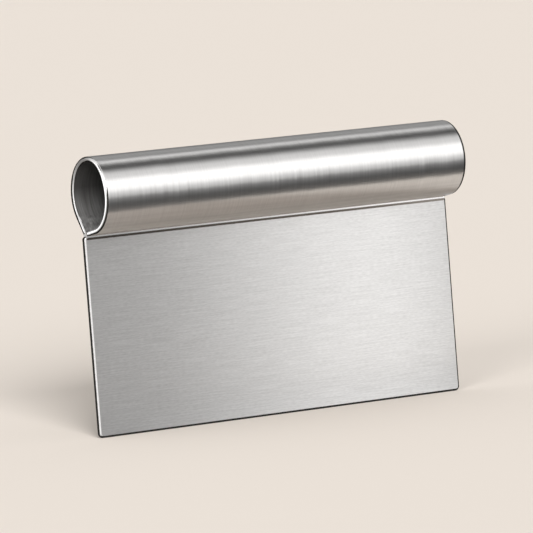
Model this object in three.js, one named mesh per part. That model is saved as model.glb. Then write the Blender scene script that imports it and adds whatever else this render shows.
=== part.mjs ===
// A bench scraper for dough: a flat steel blade under a rolled tube handle, joined by one weld seam.
// Millimetres. X runs along the scraping edge, -Y is the front and +Z is up.
// The origin is the middle of the blade's lower edge.
import * as THREE from "three";

// Driving dimensions
const bladeWidth = 152.4; // along X
const bladeHeight = 72.6; // lower edge to upper edge
const bladeThickness = 2;
const cornerRadius = 1.8; // lower corners of the blade
const tubeLength = 150.6; // along X, a little short of the blade at both ends
const tubeRadius = 13.9; // outside of the tube's round part
const tubeWall = 1.8;
const tubeForward = 5.1; // tube axis in front of the blade's middle plane
const neckDrop = 0.9; // blade's upper edge below the tube's round underside
const rootGap = 0.3; // between the back wall's foot and the blade, filled by the weld
const lipGap = 0.4; // between the lip's free end and the blade's front face, filled by the weld
const frontLeg = 1.2; // reach of the weld down the blade's front face
const lipLeg = 0.9; // reach of the weld along the underside of the lip
const insideReach = 0.8; // reach of the weld up the inside of the back wall
const weldCrown = 0.18; // bulge of the weld's visible face

// Fineness of the round parts, in straight steps
const tubeSteps = 96;
const cornerSteps = 8;
const crownSteps = 6;

// The handle's section is worked out as seen from the right-hand end: (y, z) is a point, and +y is the rear.
const point = (y, z) => new THREE.Vector2(y, z);
const along = (start, direction, distance) => start.clone().addScaledVector(direction, distance);

const halfThickness = bladeThickness / 2;
const bladeRearTop = point(halfThickness, bladeHeight);
const bladeFrontTop = point(-halfThickness, bladeHeight);
const tubeCentre = point(-tubeForward, bladeHeight + neckDrop + tubeRadius);

// A straight wall that leaves a foot and touches the tube's outside. turn is 1 for the back wall, -1 for the lip.
function tangentWall(foot, turn) {
  const toCentre = tubeCentre.clone().sub(foot);
  const angle = toCentre.angle() - turn * Math.asin(tubeRadius / toCentre.length());
  const direction = point(Math.cos(angle), Math.sin(angle));
  const outward = point(turn * direction.y, -turn * direction.x);
  return { foot, direction, outward };
}

const backWall = tangentWall(bladeRearTop, 1);
const lip = tangentWall(bladeFrontTop, -1);

// Square-cut ends of the rolled strip: the back wall's foot and the lip's free end, each with its two corners.
const backOuterFoot = along(backWall.foot, backWall.direction, rootGap);
const backInnerFoot = along(backOuterFoot, backWall.outward, -tubeWall);
const lipOuterEnd = along(lip.foot, lip.direction, lipGap);
const lipInnerEnd = along(lipOuterEnd, lip.outward, -tubeWall);

const backAngle = backWall.outward.angle();
const lipAngle = lip.outward.angle();
const startAngle = backAngle > lipAngle ? backAngle - 2 * Math.PI : backAngle;

// Points of an arc of the tube from one angle to another, both ends included.
function tubeArc(radius, from, to) {
  return Array.from({ length: tubeSteps + 1 }, (_, i) => {
    const angle = from + ((to - from) * i) / tubeSteps;
    return along(tubeCentre, point(Math.cos(angle), Math.sin(angle)), radius);
  });
}

// Sweeps a section of (y, z) points along X over the tube's whole length.
function sweepAlongX(section) {
  const geometry = new THREE.ExtrudeGeometry(new THREE.Shape(section), {
    depth: tubeLength,
    bevelEnabled: false,
  });
  const sectionToWorld = new THREE.Matrix4().makeBasis(
    new THREE.Vector3(0, 1, 0),
    new THREE.Vector3(0, 0, 1),
    new THREE.Vector3(1, 0, 0),
  );
  return geometry.applyMatrix4(sectionToWorld).translate(-tubeLength / 2, 0, 0);
}

// The blade: a rectangle with round lower corners, as thick as its sheet.
function bladeGeometry() {
  const side = bladeWidth / 2;
  const outline = new THREE.Shape();
  outline.moveTo(-side, bladeHeight);
  outline.lineTo(-side, cornerRadius);
  outline.absarc(-side + cornerRadius, cornerRadius, cornerRadius, Math.PI, 1.5 * Math.PI, false);
  outline.absarc(side - cornerRadius, cornerRadius, cornerRadius, 1.5 * Math.PI, 2 * Math.PI, false);
  outline.lineTo(side, bladeHeight);
  const geometry = new THREE.ExtrudeGeometry(outline, {
    depth: bladeThickness,
    bevelEnabled: false,
    curveSegments: cornerSteps,
  });
  const outlineToWorld = new THREE.Matrix4().makeBasis(
    new THREE.Vector3(1, 0, 0),
    new THREE.Vector3(0, 0, 1),
    new THREE.Vector3(0, -1, 0),
  );
  return geometry.applyMatrix4(outlineToWorld).translate(0, halfThickness, 0);
}

// The handle: one strip that rises from the blade at the back, rolls over the top and returns under the front.
function tubeGeometry() {
  const outside = tubeArc(tubeRadius, startAngle, lipAngle);
  const inside = tubeArc(tubeRadius - tubeWall, lipAngle, startAngle);
  return sweepAlongX([backOuterFoot, ...outside, lipOuterEnd, lipInnerEnd, ...inside, backInnerFoot]);
}

// The weld: fills the joint between the blade's upper edge, the back wall's foot and the lip's free end.
// Its visible face at the front is a shallow crown between the lip and the blade.
function weldGeometry() {
  const upperToe = along(lipOuterEnd, lip.direction, lipLeg);
  const lowerToe = point(-halfThickness, bladeHeight - frontLeg);
  const chord = lowerToe.clone().sub(upperToe);
  const bulge = point(chord.y, -chord.x).normalize();
  const crown = Array.from({ length: crownSteps + 1 }, (_, i) => {
    const share = i / crownSteps;
    const height = 4 * weldCrown * share * (1 - share);
    return along(along(upperToe, chord, share), bulge, height);
  });
  const innerToe = along(backInnerFoot, backWall.direction, insideReach);
  return sweepAlongX([
    bladeRearTop,
    backOuterFoot,
    backInnerFoot,
    innerToe,
    lipInnerEnd,
    lipOuterEnd,
    ...crown,
    bladeFrontTop,
  ]);
}

const finishes = {
  brushedBlade: { color: 0xc6c3c0, roughness: 0.42, metalness: 1 },
  brushedTube: { color: 0xcbc8c5, roughness: 0.28, metalness: 1 },
  dressedWeld: { color: 0xb9b5b1, roughness: 0.35, metalness: 1 },
};

function piece(name, geometry, finish) {
  const mesh = new THREE.Mesh(geometry, new THREE.MeshStandardMaterial(finish));
  mesh.name = name;
  return mesh;
}

const scraper = new THREE.Group();
scraper.add(piece("blade", bladeGeometry(), finishes.brushedBlade));
scraper.add(piece("handle_tube", tubeGeometry(), finishes.brushedTube));
scraper.add(piece("seam_weld", weldGeometry(), finishes.dressedWeld));

export default scraper;
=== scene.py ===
import math

import bmesh
import bpy
from mathutils import Matrix, Vector


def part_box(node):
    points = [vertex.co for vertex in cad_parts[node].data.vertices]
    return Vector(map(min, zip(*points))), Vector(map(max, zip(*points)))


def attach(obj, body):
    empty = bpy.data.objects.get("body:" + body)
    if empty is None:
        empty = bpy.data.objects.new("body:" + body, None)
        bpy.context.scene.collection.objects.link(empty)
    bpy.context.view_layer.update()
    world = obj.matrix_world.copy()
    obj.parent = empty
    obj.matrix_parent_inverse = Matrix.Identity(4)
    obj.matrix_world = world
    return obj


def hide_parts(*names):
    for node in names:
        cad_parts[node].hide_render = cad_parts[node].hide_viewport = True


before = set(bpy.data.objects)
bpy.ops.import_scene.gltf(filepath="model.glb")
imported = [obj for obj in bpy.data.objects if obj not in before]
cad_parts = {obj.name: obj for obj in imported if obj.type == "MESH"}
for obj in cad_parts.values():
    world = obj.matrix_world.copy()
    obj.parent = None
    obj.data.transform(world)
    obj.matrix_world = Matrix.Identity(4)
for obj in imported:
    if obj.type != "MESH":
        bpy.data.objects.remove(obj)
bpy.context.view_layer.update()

scene = bpy.context.scene
scene.view_settings.view_transform = "Standard"

# Sizes that the frame gives, in metres
bladeLow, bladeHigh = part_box("blade")
tubeLow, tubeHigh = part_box("handle_tube")
tubeLength = tubeHigh.x - tubeLow.x
tubeRadius = (tubeHigh.y - tubeLow.y) / 2
tubeAxis = Vector((0, tubeLow.y + tubeRadius, tubeHigh.z - tubeRadius))
print("frame loaded, blade is %.1f mm wide" % ((bladeHigh.x - bladeLow.x) * 1000))


# Mesh helpers

tiny = 1e-6  # metres, less than any size of the tool
endFacing = 0.99  # a face is an end face when its normal lies along X by this share
sharpAngle = 30  # degrees between two faces, past which their edge stays sharp


def vertsOf(result):
    return [part for part in result["geom"] if isinstance(part, bmesh.types.BMVert)]


def pullEdge(bm, edge, shift):
    pulled = bmesh.ops.extrude_edge_only(bm, edges=[edge])
    bmesh.ops.translate(bm, verts=vertsOf(pulled), vec=shift)


def pullAlongWidth(bm, length):
    pulled = bmesh.ops.extrude_face_region(bm, geom=bm.faces[:])
    bmesh.ops.translate(bm, verts=vertsOf(pulled), vec=(length, 0, 0))
    bmesh.ops.recalc_face_normals(bm, faces=bm.faces[:])


def endOutlines(bm):
    # edges between an end face, which looks along X, and the long sides
    picked = []
    for edge in bm.edges:
        lookAlongX = [abs(face.normal.x) > endFacing for face in edge.link_faces]
        if sorted(lookAlongX) == [False, True]:
            picked.append(edge)
    return picked


def roundEdges(bm, edges, radius, steps):
    bmesh.ops.bevel(bm, geom=edges, offset=radius, offset_type="OFFSET", affect="EDGES",
                    segments=steps, profile=0.5, material=-1, clamp_overlap=True)


def finishPiece(name, bm, materials, node):
    mesh = bpy.data.meshes.new(name)
    bm.to_mesh(mesh)
    bm.free()
    mesh.shade_smooth()
    mesh.set_sharp_from_angle(angle=math.radians(sharpAngle))
    for material in materials:
        mesh.materials.append(material)
    piece = bpy.data.objects.new(name, mesh)
    scene.collection.objects.link(piece)
    weighted = piece.modifiers.new("flatFacesStayFlat", "WEIGHTED_NORMAL")
    weighted.keep_sharp = True
    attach(piece, "root")
    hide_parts(node)
    print("made", name, "with", len(mesh.polygons), "faces")


# Node helpers

def newMaterial(name):
    material = bpy.data.materials.new(name)
    material.use_nodes = True
    return material, material.node_tree.nodes, material.node_tree.links


def addNode(nodes, kind, **settings):
    node = nodes.new(kind)
    for key, value in settings.items():
        setattr(node, key, value)
    return node


def mathNode(nodes, links, operation, first, second):
    node = addNode(nodes, "ShaderNodeMath", operation=operation)
    for socket, value in zip(node.inputs, (first, second)):
        if isinstance(value, (int, float)):
            socket.default_value = value
        else:
            links.new(value, socket)
    return node.outputs[0]


def blend(nodes, links, first, second, share):
    # a share of the first value and the rest of the second
    return mathNode(nodes, links, "ADD", mathNode(nodes, links, "MULTIPLY", first, share),
                    mathNode(nodes, links, "MULTIPLY", second, 1 - share))


def stretchedNoise(nodes, links, place, stretch, detail):
    mapping = addNode(nodes, "ShaderNodeMapping", vector_type="POINT")
    mapping.inputs["Scale"].default_value = stretch
    noise = addNode(nodes, "ShaderNodeTexNoise")
    noise.inputs["Scale"].default_value = 1
    noise.inputs["Detail"].default_value = detail
    links.new(place, mapping.inputs["Vector"])
    links.new(mapping.outputs["Vector"], noise.inputs["Vector"])
    return noise.outputs["Fac"]


def remap(nodes, links, value, fromLow, fromHigh, toLow, toHigh):
    node = addNode(nodes, "ShaderNodeMapRange", clamp=True)
    for socket, number in zip(node.inputs[1:5], (fromLow, fromHigh, toLow, toHigh)):
        socket.default_value = number
    links.new(value, node.inputs["Value"])
    return node.outputs["Result"]


def tint(nodes, links, share, dark, light):
    # a Mix node's two colours are its inputs 6 and 7, and the mixed colour is its output 2
    node = addNode(nodes, "ShaderNodeMix", data_type="RGBA")
    for socket, colour in ((node.inputs[6], dark), (node.inputs[7], light)):
        if isinstance(colour, tuple):
            socket.default_value = (*colour, 1)
        else:
            links.new(colour, socket)
    links.new(share, node.inputs["Factor"])
    return node.outputs[2]


# Brushed steel: the piece's "grain" UV map runs across the grain in u and along it in v, in metres

noiseMiddle = 0.5
grainMix = {
    "detail": 2,
    "toneSpan": (0.3, 0.7),  # noise between which the steel goes from dark to light
    "dullStreaks": 0.6,  # share of the streaks in the roughness, and the rest is the cloud's
    "dullSpan": (0.35, 0.65),
    "leanSpan": (0.2, 0.8),
}


def brushedSteel(name, look):
    material, nodes, links = newMaterial(name)
    shader = nodes["Principled BSDF"]
    place = addNode(nodes, "ShaderNodeUVMap", uv_map="grain").outputs["UV"]
    fine, coarse, cloud = [stretchedNoise(nodes, links, place, look[layer], grainMix["detail"])
                           for layer in ("fineGrain", "coarseGrain", "cloud")]
    streaks = blend(nodes, links, fine, coarse, look["fineShare"])
    tone = remap(nodes, links, streaks, *grainMix["toneSpan"], 0, 1)
    links.new(tint(nodes, links, tone, look["dark"], look["light"]), shader.inputs["Base Color"])
    dull = blend(nodes, links, streaks, cloud, grainMix["dullStreaks"])
    dull = remap(nodes, links, dull, *grainMix["dullSpan"], *look["roughness"])
    links.new(dull, shader.inputs["Roughness"])
    tangent = addNode(nodes, "ShaderNodeTangent", direction_type="UV_MAP", uv_map="grain")
    tangent = tangent.outputs["Tangent"]
    links.new(tangent, shader.inputs["Tangent"])
    links.new(tiltedGrain(nodes, links, place, tangent, streaks, cloud, look), shader.inputs["Normal"])
    shader.inputs["Metallic"].default_value = look["metallic"]
    shader.inputs["Anisotropic"].default_value = look["anisotropy"]
    return material


def tiltedGrain(nodes, links, place, tangent, streaks, cloud, look):
    # each streak leans a little along its own length, which frays the borders of reflections,
    # whole patches lean too, and a sheet that is bowed along its grain leans more towards its ends
    normal = addNode(nodes, "ShaderNodeNewGeometry").outputs["Normal"]
    grainway = addNode(nodes, "ShaderNodeVectorMath", operation="CROSS_PRODUCT")
    links.new(normal, grainway.inputs[0])
    links.new(tangent, grainway.inputs[1])
    lean = addNode(nodes, "ShaderNodeVectorMath", operation="SCALE")
    links.new(grainway.outputs["Vector"], lean.inputs[0])
    streakLean, patchLean = [remap(nodes, links, layer, *grainMix["leanSpan"], -most, most)
                             for layer, most in ((streaks, look["tilt"]), (cloud, look["wave"]))]
    fray = mathNode(nodes, links, "ADD", streakLean, patchLean)
    split = addNode(nodes, "ShaderNodeSeparateXYZ")
    links.new(place, split.inputs["Vector"])
    bow = mathNode(nodes, links, "MULTIPLY", split.outputs["Y"], -look["bow"])
    links.new(mathNode(nodes, links, "ADD", fray, bow), lean.inputs["Scale"])
    total = addNode(nodes, "ShaderNodeVectorMath", operation="ADD")
    links.new(normal, total.inputs[0])
    links.new(lean.outputs["Vector"], total.inputs[1])
    unit = addNode(nodes, "ShaderNodeVectorMath", operation="NORMALIZE")
    links.new(total.outputs["Vector"], unit.inputs[0])
    return unit.outputs["Vector"]


# Sheared sheet edge: dark burr at one side, bright burnished band, dark torn band at the other side.
# The vertices carry how far they are past the burr and into the torn band, as shares of the sheet's
# thickness, and how far the band is darkened and dulled, which on the rim is painted shade.

edgeLayerNames = ("pastBurr", "intoTear", "darkenedAndDulled")
cutEdgeLook = {
    "burnished": (0.95, 0.94, 0.93),
    "torn": (0.018, 0.017, 0.016),
    "border": 0.04,  # half the soft width of a band's border
    "wobble": 0.06,
    "ragged": (900, 900, 900),  # per metre
    "raggedDetail": 3,
    "roughness": (0.18, 0.5),
}


def cutEdge(name, look):
    material, nodes, links = newMaterial(name)
    shader = nodes["Principled BSDF"]
    burr, tear, dull = [addNode(nodes, "ShaderNodeAttribute", attribute_name=layer).outputs["Fac"]
                        for layer in edgeLayerNames]
    place = addNode(nodes, "ShaderNodeTexCoord").outputs["Object"]
    noise = stretchedNoise(nodes, links, place, look["ragged"], look["raggedDetail"])
    noise = mathNode(nodes, links, "SUBTRACT", noise, noiseMiddle)
    wobble = mathNode(nodes, links, "MULTIPLY", noise, look["wobble"])
    ragged = mathNode(nodes, links, "ADD", tear, wobble)
    soft = look["border"]
    torn = mathNode(nodes, links, "MAXIMUM", remap(nodes, links, ragged, -soft, soft, 0, 1),
                    remap(nodes, links, burr, -soft, soft, 1, 0))
    # the darkened-and-dulled share turns the band near black and matt, which on the rim is painted shade
    torn = mathNode(nodes, links, "MAXIMUM", torn, dull)
    links.new(tint(nodes, links, torn, look["burnished"], look["torn"]), shader.inputs["Base Color"])
    links.new(remap(nodes, links, torn, 0, 1, *look["roughness"]), shader.inputs["Roughness"])
    links.new(remap(nodes, links, torn, 0, 1, 1, 0), shader.inputs["Metallic"])  # a torn band is matt
    shader.inputs["Specular IOR Level"].default_value = 0
    return material


def edgeLayers(bm):
    return [bm.verts.layers.float.new(layer) for layer in edgeLayerNames]


cutEdgeSteel = cutEdge("cutEdgeSteel", cutEdgeLook)


# Blade

bladeSheet = {
    "cornerRound": 0.0018,
    "cornerSteps": 10,
    "topRound": 0.0011,  # upper corners
    "topSteps": 5,
    "edgeRound": 0.0008,
    "edgeSteps": 6,
    "edgeTear": 0.905,  # torn share of the left edge's thickness
    "cornerTearAndShade": 0.0010,  # height below which the tear and painted contact shade grow to the whole thickness
    "rightTear": 0.20,  # and of the right edge's, at its back
    "rightBurr": 0.25,  # and at its front
    "faceFlat": 0.995,  # a face is brushed when its normal lies along Y by this share
    "look": {
        "dark": (0.535, 0.525, 0.515),
        "light": (0.705, 0.695, 0.685),
        "metallic": 1,
        "roughness": (0.28, 0.31),
        "anisotropy": 0.7,
        "fineGrain": (2800, 560, 1),  # per metre: across the grain, along it
        "coarseGrain": (2000, 70, 1),
        "cloud": (40, 18, 1),
        "fineShare": 0.5,
        "tilt": 0.004,
        "wave": 0,
        "bow": 1.3,  # radians per metre
    },
}


def acrossSheet(edge):
    return abs(edge.verts[0].co.y - edge.verts[1].co.y) > (bladeHigh.y - bladeLow.y) / 2


def makeBlade():
    size = bladeHigh - bladeLow
    middle = (bladeHigh + bladeLow) / 2
    bm = bmesh.new()
    block = Matrix.Translation(middle) @ Matrix.Diagonal((*size, 1))
    bmesh.ops.create_cube(bm, size=1, matrix=block)
    corners = [edge for edge in bm.edges if acrossSheet(edge)]
    lowCorners = [edge for edge in corners if edge.verts[0].co.z < middle.z]
    topCorners = [edge for edge in corners if edge.verts[0].co.z > middle.z]
    roundEdges(bm, lowCorners, bladeSheet["cornerRound"], bladeSheet["cornerSteps"])
    roundEdges(bm, topCorners, bladeSheet["topRound"], bladeSheet["topSteps"])
    # the upper edge is inside the weld and stays square
    outline = [edge for edge in bm.edges
               if not acrossSheet(edge) and min(vert.co.z for vert in edge.verts) < bladeHigh.z - tiny]
    roundEdges(bm, outline, bladeSheet["edgeRound"], bladeSheet["edgeSteps"])
    bm.normal_update()
    grain = bm.loops.layers.uv.new("grain")
    burr, tear, dull = edgeLayers(bm)
    for vert in bm.verts:
        # the lower edge and the two corners are dark through the whole thickness: a torn cut edge, with
        # painted contact shade where the blade stands on the floor
        tearAndShadeNearFloor = max(0, 1 - (vert.co.z - bladeLow.z) / bladeSheet["cornerTearAndShade"])
        depth = (vert.co.y - bladeLow.y) / size.y
        torn, burred = bladeSheet["edgeTear"], 0
        if vert.co.x > 0:
            torn, burred = bladeSheet["rightTear"], bladeSheet["rightBurr"]
        vert[burr] = depth - burred
        vert[tear] = depth - 1 + torn + tearAndShadeNearFloor
        vert[dull] = 0
    for face in bm.faces:
        face.material_index = 1 if abs(face.normal.y) < bladeSheet["faceFlat"] else 0
        for loop in face.loops:
            loop[grain].uv = (loop.vert.co.z, loop.vert.co.x)
    steel = brushedSteel("brushedBladeSteel", bladeSheet["look"])
    finishPiece("bladeSheet", bm, [steel, cutEdgeSteel], "blade")


# Handle tube

handleTube = {
    "wall": 0.0018,
    "rootGap": 0.0003,  # back wall's foot above the blade
    "lipGap": 0.0004,  # lip's free end in front of the blade
    "turnSteps": 120,
    "rimRound": 0.00085,
    "rimSteps": 6,
    # round the rim, in degrees from the rear over the top: torn share outside, burr share inside, and the
    # share of painted shade that darkens and dulls the rim
    "rim": [
        (-180, 0.16, 0.08, 0), (-130, 0.22, 0.05, 0), (-95, 0.28, 0.05, 0), (-75, 0.22, 0.05, 0),
        (-66, 0.83, 0.05, 0), (0, 0.87, 0.05, 0.15), (25, 0.83, 0.05, 0.70), (60, 0.55, 0.08, 0.83),
        (85, 0.40, 0.14, 0.82), (100, 0.10, 0.45, 0.72), (115, 0, 0.62, 0.35), (130, 0, 0.66, 0),
        (148, 0, 0.58, 0), (165, 0, 0.36, 0), (180, 0.16, 0.10, 0),
    ],
    "rightTear": 0.30,  # torn share of the right rim's thickness, at its outside
    "rightLine": (0.00118, 0.00098),  # painted dark reflection beside the right rim: inset where it begins and is full
    "rightLineTint": (0.06, 0.058, 0.056),
    "outside": {
        "dark": (0.58, 0.57, 0.56),
        "light": (0.68, 0.67, 0.66),
        "metallic": 1,
        "roughness": (0.28, 0.31),
        "anisotropy": 1,
        "fineGrain": (2600, 45, 1),
        "coarseGrain": (950, 25, 1),
        "cloud": (130, 12, 1),
        "fineShare": 0.68,
        "tilt": 0.037,
        "wave": 0.014,
        "bow": 0,
    },
    "bore": {
        "dark": (0.23, 0.222, 0.215),
        "light": (0.66, 0.65, 0.64),
        "metallic": 0.85,
        "roughness": (0.40, 0.50),
        "anisotropy": 0.5,
        "fineGrain": (1500, 60, 1),
        "coarseGrain": (500, 30, 1),
        "cloud": (40, 15, 1),
        "fineShare": 0.5,
        "tilt": 0.03,
        "wave": 0.02,
        "bow": 0,
    },
    "drawnLines": (18, 700, 1),  # per metre: along the tube, round it
    "drawnDetail": 3,
    "drawnSpan": (0.35, 0.65),
    "drawnShade": 0.88,
    "drawnReach": (0.021, 0.015),  # from the lip's end, where the lines begin and are full
    # painted shade in the crease where the lip's end meets the weld
    "seamTint": (0.44, 0.43, 0.42),
    "seamTintWidth": 0.0010,
    "boreShade": (0.090, 0.075),  # heights between which the painted shade in the bore, darkest at the top, thins out
    "borePaintedShade": (0.05, 0.048, 0.045),
    "borePaintedShadeShare": 0.85,
    "rimFacing": 0.05,  # a face belongs to the rim when its normal lies along X by this share
    "midWall": 0.5,  # deeper than this share of the wall, a face belongs to the bore
}


def tangentWall(foot, turn):
    # straight wall from a foot to the round of the tube: turn is 1 for the back wall, -1 for the lip
    toAxis = tubeAxis - foot
    reach = toAxis.length
    lean = math.atan2(toAxis.z, toAxis.y) - turn * math.asin(tubeRadius / reach)
    direction = Vector((0, math.cos(lean), math.sin(lean)))
    outward = Vector((0, turn * direction.z, -turn * direction.y))
    length = math.sqrt(reach ** 2 - tubeRadius ** 2)
    return {"foot": foot, "direction": direction, "outward": outward, "length": length}


backWall = tangentWall(Vector((0, bladeHigh.y, bladeHigh.z)), 1)
lip = tangentWall(Vector((0, bladeLow.y, bladeHigh.z)), -1)


def roundAngle(direction):
    return math.atan2(direction.z, direction.y)


startAngle = roundAngle(backWall["outward"])
sweep = (roundAngle(lip["outward"]) - startAngle) % math.tau


def aroundTube(point):
    # how far round the section a point lies, in metres from the back tangent, and how deep in the sheet
    flat = Vector((0, point.y, point.z))
    fromAxis = flat - tubeAxis
    turned = (roundAngle(fromAxis) - startAngle) % math.tau
    if turned <= sweep:
        return turned * tubeRadius, (fromAxis.length - tubeRadius) / handleTube["wall"] + 1
    wall, start = (lip, sweep * tubeRadius) if turned < (sweep + math.tau) / 2 else (backWall, 0)
    along = wall["length"] - (flat - wall["foot"]).dot(wall["direction"])
    distance = start + along if wall is lip else -along
    return distance, (flat - wall["foot"]).dot(wall["outward"]) / handleTube["wall"] + 1


def alongStops(stops, place):
    # values between the two stops on either side of a place
    for low, high in zip(stops, stops[1:]):
        if place <= high[0]:
            share = (place - low[0]) / (high[0] - low[0])
            return [first + (second - first) * share for first, second in zip(low[1:], high[1:])]
    return stops[-1][1:]


def outsideSteel():
    # drawing lines run along the tube's underside, painted shade darkens the lip's end at the weld,
    # and a painted dark reflection lines the right rim
    steel = brushedSteel("brushedTubeSteel", handleTube["outside"])
    nodes, links = steel.node_tree.nodes, steel.node_tree.links
    base = nodes["Principled BSDF"].inputs["Base Color"]
    place = addNode(nodes, "ShaderNodeUVMap", uv_map="grain").outputs["UV"]
    split = addNode(nodes, "ShaderNodeSeparateXYZ")
    links.new(place, split.inputs["Vector"])
    lipEnd = sweep * tubeRadius + lip["length"]
    linesStart, linesFull = [lipEnd - reach for reach in handleTube["drawnReach"]]
    lines = stretchedNoise(nodes, links, place, handleTube["drawnLines"], handleTube["drawnDetail"])
    lines = remap(nodes, links, lines, *handleTube["drawnSpan"], 0, 1)
    lines = mathNode(nodes, links, "MULTIPLY", lines,
                     remap(nodes, links, split.outputs["Y"], linesStart, linesFull, 0, 1))
    shaded = addNode(nodes, "ShaderNodeVectorMath", operation="SCALE")
    links.new(base.links[0].from_socket, shaded.inputs[0])
    shaded.inputs["Scale"].default_value = handleTube["drawnShade"]
    drawn = tint(nodes, links, lines, base.links[0].from_socket, shaded.outputs["Vector"])
    # painted shade: the lip's end darkens where it meets the weld
    seamShaded = remap(nodes, links, split.outputs["Y"], lipEnd - handleTube["seamTintWidth"], lipEnd, 0, 1)
    seamed = tint(nodes, links, seamShaded, drawn, handleTube["seamTint"])
    # painted dark reflection: a dark strip on the tube beside the right rim
    lineStart, lineFull = [tubeHigh.x - inset for inset in handleTube["rightLine"]]
    paintedDarkLine = remap(nodes, links, split.outputs["X"], lineStart, lineFull, 0, 1)
    links.new(tint(nodes, links, paintedDarkLine, seamed, handleTube["rightLineTint"]), base)
    return steel


def boreSteel():
    # painted shade darkens the bore towards its top, away from the seam
    steel = brushedSteel("drawnBoreSteel", handleTube["bore"])
    nodes, links = steel.node_tree.nodes, steel.node_tree.links
    base = nodes["Principled BSDF"].inputs["Base Color"]
    split = addNode(nodes, "ShaderNodeSeparateXYZ")
    links.new(addNode(nodes, "ShaderNodeTexCoord").outputs["Object"], split.inputs["Vector"])
    # painted shade: the bore is darker towards its top
    scaleAndShade = remap(nodes, links, split.outputs["Z"], *handleTube["boreShade"],
                   handleTube["borePaintedShadeShare"], 0)
    links.new(tint(nodes, links, scaleAndShade, base.links[0].from_socket, handleTube["borePaintedShade"]), base)
    return steel


def makeTube():
    bm = bmesh.new()
    touch = backWall["foot"] + backWall["direction"] * backWall["length"]
    touch.x = tubeLow.x
    outer = bm.verts.new(touch)
    inner = bm.verts.new(touch - backWall["outward"] * handleTube["wall"])
    rise = bm.edges.new((outer, inner))
    spun = bmesh.ops.spin(bm, geom=[outer, inner, rise], cent=tubeAxis, axis=(1, 0, 0), angle=sweep,
                          steps=handleTube["turnSteps"], use_duplicate=False)
    lipEdge = next(part for part in spun["geom_last"] if isinstance(part, bmesh.types.BMEdge))
    pullEdge(bm, rise, backWall["direction"] * (handleTube["rootGap"] - backWall["length"]))
    pullEdge(bm, lipEdge, lip["direction"] * (handleTube["lipGap"] - lip["length"]))
    pullAlongWidth(bm, tubeLength)
    roundEdges(bm, endOutlines(bm), handleTube["rimRound"], handleTube["rimSteps"])
    bm.normal_update()
    grain = bm.loops.layers.uv.new("grain")
    burr, tear, dull = edgeLayers(bm)
    distance = {}
    depth = {}
    for vert in bm.verts:
        distance[vert], depth[vert] = aroundTube(vert.co)
        degrees = math.degrees(roundAngle(vert.co - tubeAxis))
        # the rim's third column is painted shade where its reflection is darker
        outside, inside, vert[dull] = alongStops(handleTube["rim"], degrees)
        vert[burr] = depth[vert] - inside
        vert[tear] = depth[vert] - 1 + outside
        if vert.co.x > 0:
            vert[burr], vert[tear], vert[dull] = 1, depth[vert] - 1 + handleTube["rightTear"], 0
    for face in bm.faces:
        onRim = abs(face.normal.x) > handleTube["rimFacing"]
        inBore = sum(depth[vert] for vert in face.verts) / len(face.verts) < handleTube["midWall"]
        face.material_index = 1 if onRim else 2 if inBore else 0
        for loop in face.loops:
            loop[grain].uv = (loop.vert.co.x, distance[loop.vert])
    steels = [outsideSteel(), cutEdgeSteel, boreSteel()]
    finishPiece("handleTube", bm, steels, "handle_tube")


# Seam weld

seamWeld = {
    "insideReach": 0.0008,  # up the inside of the back wall
    "proud": 0.00066,  # in front of the blade's face
    "faceHeight": 0.00058,
    "toeDrop": 0.00128,  # lower toe below the blade's upper edge
    "endInset": 0.0001,
    "cornerRound": 0.00008,
    "cornerSteps": 3,
    "light": (0.84, 0.83, 0.82),
    "dark": (0.74, 0.73, 0.72),
    "mottle": (420, 900, 900),  # per metre
    "mottleDetail": 4,
    "mottleSpan": (0.3, 0.7),
    "faceTint": (0.36, 0.355, 0.35),  # painted shade of the dressed face at the left end
    "faceTintShare": 0.9,
    "toeTint": ((0.09, 0.087, 0.084), (0.26, 0.25, 0.24)),  # painted shade below that face, under its ledge, left and right
    "paintedShadeFade": (-0.06, 0.05),  # X between which the painted shade fades
    "rootTint": (0.24, 0.23, 0.22),  # scale on the root inside the bore
    "rootRoughness": 0.55,
    "rootHeight": (0.0005, 0.0009),  # above the blade, where the scale begins and is full
    "roughness": (0.14, 0.20),
    "endDull": 0.60,
}


def weldMetal(toeHeight):
    material, nodes, links = newMaterial("dressedWeldMetal")
    shader = nodes["Principled BSDF"]
    place = addNode(nodes, "ShaderNodeTexCoord").outputs["Object"]
    mottle = stretchedNoise(nodes, links, place, seamWeld["mottle"], seamWeld["mottleDetail"])
    tone = remap(nodes, links, mottle, *seamWeld["mottleSpan"], 0, 1)
    metal = tint(nodes, links, tone, seamWeld["dark"], seamWeld["light"])
    split = addNode(nodes, "ShaderNodeSeparateXYZ")
    links.new(place, split.inputs["Vector"])
    soft = seamWeld["cornerRound"]
    # painted shade: the toe under the face's ledge, and the face towards its left end, are darkened
    inToeShade = remap(nodes, links, split.outputs["Z"], toeHeight - soft, toeHeight + soft, 1, 0)
    rightward = remap(nodes, links, split.outputs["X"], *seamWeld["paintedShadeFade"], 0, 1)
    toe = tint(nodes, links, rightward, *seamWeld["toeTint"])
    leftEnd = remap(nodes, links, split.outputs["X"], *seamWeld["paintedShadeFade"], seamWeld["faceTintShare"], 0)
    face = tint(nodes, links, leftEnd, metal, seamWeld["faceTint"])
    front = tint(nodes, links, inToeShade, face, toe)
    rootLow, rootHigh = [bladeHigh.z + height for height in seamWeld["rootHeight"]]
    atRoot = remap(nodes, links, split.outputs["Z"], rootLow, rootHigh, 0, 1)
    links.new(tint(nodes, links, atRoot, front, seamWeld["rootTint"]), shader.inputs["Base Color"])
    dressed = remap(nodes, links, mottle, *seamWeld["mottleSpan"], *seamWeld["roughness"])
    scaleAndShade = mathNode(nodes, links, "MULTIPLY", atRoot, seamWeld["rootRoughness"])
    links.new(mathNode(nodes, links, "MAXIMUM", dressed, scaleAndShade), shader.inputs["Roughness"])
    shader.inputs["Metallic"].default_value = 1
    return material


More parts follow.
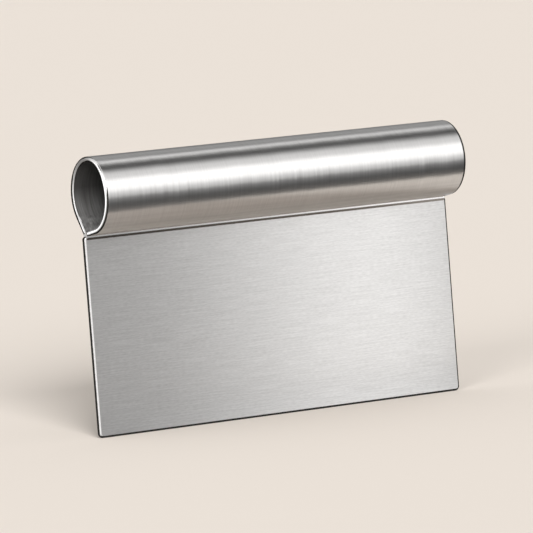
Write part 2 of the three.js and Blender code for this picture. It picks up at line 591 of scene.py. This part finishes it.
def makeWeld():
    bm = bmesh.new()
    wall = handleTube["wall"]
    backFoot = backWall["foot"] + backWall["direction"] * handleTube["rootGap"]
    lipEnd = lip["foot"] + lip["direction"] * handleTube["lipGap"]
    innerFoot = backFoot - backWall["outward"] * wall
    slope = lip["direction"].z / -lip["direction"].y
    faceTop = Vector((0, bladeLow.y - seamWeld["proud"], bladeHigh.z + slope * seamWeld["proud"]))
    faceFoot = faceTop - Vector((0, 0, seamWeld["faceHeight"]))
    section = [
        backWall["foot"],
        backFoot,
        innerFoot,
        innerFoot + backWall["direction"] * seamWeld["insideReach"],
        lipEnd - lip["outward"] * wall,
        lipEnd,
        faceTop,
        faceFoot,
        lip["foot"] - Vector((0, 0, seamWeld["toeDrop"])),
        lip["foot"],
    ]
    start = Vector((tubeLow.x + seamWeld["endInset"], 0, 0))
    bm.faces.new([bm.verts.new(point + start) for point in section])
    pullAlongWidth(bm, tubeLength - 2 * seamWeld["endInset"])
    atFoot = [vert for vert in bm.verts
              if abs(vert.co.y - faceFoot.y) + abs(vert.co.z - faceFoot.z) < tiny]
    longCorner = [edge for edge in bm.edges if all(vert in atFoot for vert in edge.verts)]
    roundEdges(bm, longCorner, seamWeld["cornerRound"], seamWeld["cornerSteps"])
    bm.normal_update()
    burr, tear, dull = edgeLayers(bm)
    for vert in bm.verts:
        vert[burr], vert[tear], vert[dull] = 1, -1, seamWeld["endDull"]
    for face in bm.faces:
        face.material_index = 1 if abs(face.normal.x) > endFacing else 0
    finishPiece("seamWeld", bm, [weldMetal(faceFoot.z), cutEdgeSteel], "seam_weld")


makeBlade()
makeTube()
makeWeld()


def fromTool(azimuth, elevation):
    # direction from the tool: radians to the left of straight in front, and up
    return Vector((-math.sin(azimuth) * math.cos(elevation),
                   -math.cos(azimuth) * math.cos(elevation),
                   math.sin(elevation)))


# Camera: fitted to the blade's edges, the joint and the tube's outline

shot = {
    "azimuth": 29.422,  # degrees to the left of straight in front
    "elevation": 4.039,
    "roll": -4.436,
    "distance": 1.7883,
    "aimHeight": 0.05464,
    "slide": (-0.001644, -0.000450),  # sideways and up in the picture plane
    "lens": 330.79,
    "sensor": 36,
    "farClip": 100,
}


def makeCamera():
    azimuth = math.radians(shot["azimuth"])
    back = fromTool(azimuth, math.radians(shot["elevation"]))
    right = Vector((math.cos(azimuth), -math.sin(azimuth), 0))
    up = back.cross(right)
    turn = Matrix.Rotation(math.radians(shot["roll"]), 3, back)
    right = turn @ right
    up = turn @ up
    data = bpy.data.cameras.new("productCamera")
    data.lens = shot["lens"]
    data.sensor_width = shot["sensor"]
    data.clip_end = shot["farClip"]
    camera = bpy.data.objects.new("productCamera", data)
    scene.collection.objects.link(camera)
    place = Vector((0, 0, shot["aimHeight"])) + back * shot["distance"]
    place += right * shot["slide"][0] + up * shot["slide"][1]
    axes = Matrix((right, up, back)).transposed().to_4x4()
    camera.matrix_world = Matrix.Translation(place) @ axes
    scene.camera = camera


makeCamera()


# Studio: cream floor, a cream surround for the camera, and bands of light across the width for the metal

studio = {
    "cream": (0.80, 0.73, 0.66),
    "topLevel": 3.0,
    "plainLevel": 0.40,  # even light for everything but reflections
    # angle from the front horizon over the top to the rear horizon, in degrees, and light level
    "bands": [
        (-180, 0.05), (-174, 0.70), (-162, 0.90), (-75, 0.90), (-62, 0.60), (-52, 0.05), (-44, 0),
        (-30, 0.07), (-18, 0.31), (-12, 0.54), (-9, 1.00), (-6, 1.25), (0, 1.56), (6, 2.00), (9, 2.45),
        (18, 3.00), (33, 2.68), (42, 1.78), (50, 1.12), (62, 1.20), (78, 0.13), (84, 0), (97, 0),
        (106, 1.65), (110, 1.50), (115, 0.25), (124, 0.40), (138, 0.54), (146, 0.54), (152, 0.05), (180, 0),
    ],
    # glow along the front horizon: the ray's share to the right, and the factor on the bands there
    "frontGlow": [
        (-1, 1), (0, 0.73), (0.15, 0.47), (0.25, 0.30), (0.35, 0.355), (0.42, 0.58), (0.49, 0.85),
        (0.56, 1.06), (0.63, 1.31), (0.68, 0.80), (0.76, 0.35), (0.88, 0.35), (0.95, 0.80), (1, 0.95),
    ],
    "frontGlowHeight": (0.40, 0.60),  # the ray's share up or down where it thins out and is gone
    # away from what the picture shows in the metal, the surround is calm:
    # the ray's share to the right, and the share of calm
    "calmPlace": [(-1, 1), (-0.35, 1), (-0.15, 0), (0.93, 0), (0.98, 1), (1, 1)],
    "calm": [(-1, 0.95), (-0.4, 0.75), (0, 0.80), (0.35, 1.05), (1, 1.4)],  # the ray's share up, and level
    "calmHeight": (0.50, 0.70),  # there is less of it above the first and none above the second
    # white panel on the left: the ray's share to the right, and the panel's share, and its level
    "leftPlace": [(-1, 0), (-0.97, 0), (-0.92, 1), (-0.8, 1), (-0.5, 0), (1, 0)],
    "leftLevel": 1.5,
    # white panel behind on the left: shares to the left and to the rear, height as a share, and its level
    "rearBox": {"left": (0.30, 0.40), "rear": (0.2, 0.4), "height": (0.45, 0.60), "level": 1.6},
    "panelFoot": (-0.24, -0.14),  # the two panels end just below the horizon, as the ray's share up
}


# bounce counts are whole numbers, so these stand between two of them
noBounce = 0.5
oneBounce = 1.5


def levelRamp(nodes, links, value, stops, topLevel):
    # grey ramp through stops of place and level, as shares of the top level
    low, high = stops[0][0], stops[-1][0]
    ramp = addNode(nodes, "ShaderNodeValToRGB")
    elements = ramp.color_ramp.elements
    while len(elements) < len(stops):
        elements.new(0.5)
    for element, (place, level) in zip(elements, stops):
        share = level / topLevel
        element.position = (place - low) / (high - low)
        element.color = (share, share, share, 1)
    links.new(remap(nodes, links, value, low, high, 0, 1), ramp.inputs["Fac"])
    return ramp.outputs["Color"]


def frontGlow(nodes, links, split, bands):
    glow = levelRamp(nodes, links, split.outputs["X"], studio["frontGlow"], studio["topLevel"])
    raised = mathNode(nodes, links, "ABSOLUTE", split.outputs["Z"], 0)
    front = mathNode(nodes, links, "LESS_THAN", split.outputs["Y"], 0)
    level = remap(nodes, links, raised, *studio["frontGlowHeight"], 1, 0)
    near = mathNode(nodes, links, "MULTIPLY", front, level)
    lit = addNode(nodes, "ShaderNodeVectorMath", operation="MULTIPLY")
    links.new(bands, lit.inputs[0])
    links.new(glow, lit.inputs[1])
    lifted = addNode(nodes, "ShaderNodeVectorMath", operation="SCALE")
    links.new(lit.outputs["Vector"], lifted.inputs[0])
    lifted.inputs["Scale"].default_value = studio["topLevel"]
    return tint(nodes, links, near, bands, lifted.outputs["Vector"])


def makeWorld():
    world = bpy.data.worlds.new("studioSurround")
    scene.world = world
    world.use_nodes = True
    nodes, links = world.node_tree.nodes, world.node_tree.links
    light = nodes["Background"]
    path = addNode(nodes, "ShaderNodeLightPath")
    split = addNode(nodes, "ShaderNodeSeparateXYZ")
    links.new(addNode(nodes, "ShaderNodeTexCoord").outputs["Generated"], split.inputs["Vector"])
    forward = mathNode(nodes, links, "MULTIPLY", split.outputs["Y"], -1)
    angle = mathNode(nodes, links, "ARCTAN2", split.outputs["Z"], forward)
    degrees = mathNode(nodes, links, "DEGREES", angle, 0)
    bands = levelRamp(nodes, links, degrees, studio["bands"], studio["topLevel"])
    colour = frontGlow(nodes, links, split, bands)
    calm = levelRamp(nodes, links, split.outputs["Z"], studio["calm"], studio["topLevel"])
    inCalm = mathNode(nodes, links, "MULTIPLY",
                      levelRamp(nodes, links, split.outputs["X"], studio["calmPlace"], 1),
                      remap(nodes, links, split.outputs["Z"], *studio["calmHeight"], 1, 0))
    colour = tint(nodes, links, inCalm, colour, calm)
    share = studio["leftLevel"] / studio["topLevel"]
    aboveFoot = remap(nodes, links, split.outputs["Z"], *studio["panelFoot"], 0, 1)
    onLeft = mathNode(nodes, links, "MULTIPLY", aboveFoot,
                      levelRamp(nodes, links, split.outputs["X"], studio["leftPlace"], 1))
    colour = tint(nodes, links, onLeft, colour, (share, share, share))
    rear = studio["rearBox"]
    share = rear["level"] / studio["topLevel"]
    leftward = mathNode(nodes, links, "MULTIPLY", split.outputs["X"], -1)
    belowTop = remap(nodes, links, split.outputs["Z"], *rear["height"], 1, 0)
    inBox = mathNode(nodes, links, "MULTIPLY", remap(nodes, links, leftward, *rear["left"], 0, 1),
                     remap(nodes, links, split.outputs["Y"], *rear["rear"], 0, 1))
    inHeight = mathNode(nodes, links, "MULTIPLY", aboveFoot, belowTop)
    inBox = mathNode(nodes, links, "MULTIPLY", inBox, inHeight)
    colour = tint(nodes, links, inBox, colour, (share, share, share))
    # the bands are for what the camera sees in the metal, and the metal sends none of them to the floor
    plain = studio["plainLevel"] / studio["topLevel"]
    fromFloor = mathNode(nodes, links, "GREATER_THAN", path.outputs["Diffuse Depth"], noBounce)
    colour = tint(nodes, links, fromFloor, colour, (0.0, 0.0, 0.0))
    colour = tint(nodes, links, path.outputs["Is Glossy Ray"], (plain, plain, plain), colour)
    links.new(colour, light.inputs["Color"])
    light.inputs["Strength"].default_value = studio["topLevel"]
    surround = addNode(nodes, "ShaderNodeBackground")
    surround.inputs["Color"].default_value = (*studio["cream"], 1)
    mix = addNode(nodes, "ShaderNodeMixShader")
    links.new(path.outputs["Is Camera Ray"], mix.inputs["Fac"])
    links.new(light.outputs["Background"], mix.inputs[1])
    links.new(surround.outputs["Background"], mix.inputs[2])
    links.new(mix.outputs["Shader"], nodes["World Output"].inputs["Surface"])


# Floor: the metal sees it only close behind and under the tool, and the surround beyond

creamFloor = {
    "half": 30,
    "roughness": 0.6,
    "depthInMetal": (-0.08, 0.10),  # the metal sees the floor between these Y
    "widthInMetal": (-0.10, 0.30),  # and between these X
    "nearInMetal": 0.07,  # but not closer to itself than this
    "inMetal": (0.56, 0.50, 0.45),  # painted shade, close to the tool
    # painted light: brighter than the cream, further to the right
    "farInMetal": (0.92, 0.85, 0.78),
    "inMetalFade": (0.104, 0.118),  # X less Y where the painted shade turns to the painted light
}


def beyond(nodes, links, value, low, high):
    # 1 outside the two limits, and 0 between them
    return mathNode(nodes, links, "ADD", mathNode(nodes, links, "LESS_THAN", value, low),
                    mathNode(nodes, links, "GREATER_THAN", value, high))


def makeFloor():
    bm = bmesh.new()
    bmesh.ops.create_grid(bm, x_segments=1, y_segments=1, size=creamFloor["half"])
    mesh = bpy.data.meshes.new("creamFloor")
    bm.to_mesh(mesh)
    bm.free()
    material, nodes, links = newMaterial("creamCard")
    shader = nodes["Principled BSDF"]
    shader.inputs["Roughness"].default_value = creamFloor["roughness"]
    shader.inputs["Specular IOR Level"].default_value = 0
    path = addNode(nodes, "ShaderNodeLightPath")
    split = addNode(nodes, "ShaderNodeSeparateXYZ")
    links.new(addNode(nodes, "ShaderNodeTexCoord").outputs["Object"], split.inputs["Vector"])
    # what the metal sees of the floor is painted: shade close to the tool, light further to the right
    firstBounce = mathNode(nodes, links, "MULTIPLY", path.outputs["Is Glossy Ray"],
                           mathNode(nodes, links, "LESS_THAN", path.outputs["Glossy Depth"], oneBounce))
    across = mathNode(nodes, links, "SUBTRACT", split.outputs["X"], split.outputs["Y"])
    inMetal = tint(nodes, links, remap(nodes, links, across, *creamFloor["inMetalFade"], 0, 1),
                   creamFloor["inMetal"], creamFloor["farInMetal"])
    links.new(tint(nodes, links, firstBounce, studio["cream"], inMetal), shader.inputs["Base Color"])
    alongDepth = beyond(nodes, links, split.outputs["Y"], *creamFloor["depthInMetal"])
    alongWidth = beyond(nodes, links, split.outputs["X"], *creamFloor["widthInMetal"])
    near = mathNode(nodes, links, "LESS_THAN", path.outputs["Ray Length"], creamFloor["nearInMetal"])
    outside = mathNode(nodes, links, "MAXIMUM", alongDepth, alongWidth)
    outside = mathNode(nodes, links, "MAXIMUM", outside, near)
    mix = addNode(nodes, "ShaderNodeMixShader")
    links.new(mathNode(nodes, links, "MULTIPLY", firstBounce, outside), mix.inputs["Fac"])
    links.new(shader.outputs["BSDF"], mix.inputs[1])
    links.new(addNode(nodes, "ShaderNodeBsdfTransparent").outputs["BSDF"], mix.inputs[2])
    links.new(mix.outputs["Shader"], nodes["Material Output"].inputs["Surface"])
    mesh.materials.append(material)
    floor = bpy.data.objects.new("creamFloor", mesh)
    scene.collection.objects.link(floor)


# Lamps: soft, low and from the camera's side, so their shadows fall away behind the blade

lamps = {
    "keyLight": {
        "azimuth": 20,  # degrees to the left of straight in front
        "elevation": 18,
        "softness": 20,  # degrees across
        "strength": 5.18,
    },
    "fillLight": {
        "azimuth": 48,
        "elevation": 18,
        "softness": 20,
        "strength": 1.3,
    },
}


def makeLamp(name, lamp):
    toLight = fromTool(math.radians(lamp["azimuth"]), math.radians(lamp["elevation"]))
    data = bpy.data.lights.new(name, "SUN")
    data.energy = lamp["strength"]
    data.angle = math.radians(lamp["softness"])
    light = bpy.data.objects.new(name, data)
    light.rotation_euler = toLight.to_track_quat("Z", "Y").to_euler()
    light.visible_glossy = False
    scene.collection.objects.link(light)


makeWorld()
makeFloor()
for lampName, lamp in lamps.items():
    makeLamp(lampName, lamp)
print("stage, camera and lamps made")
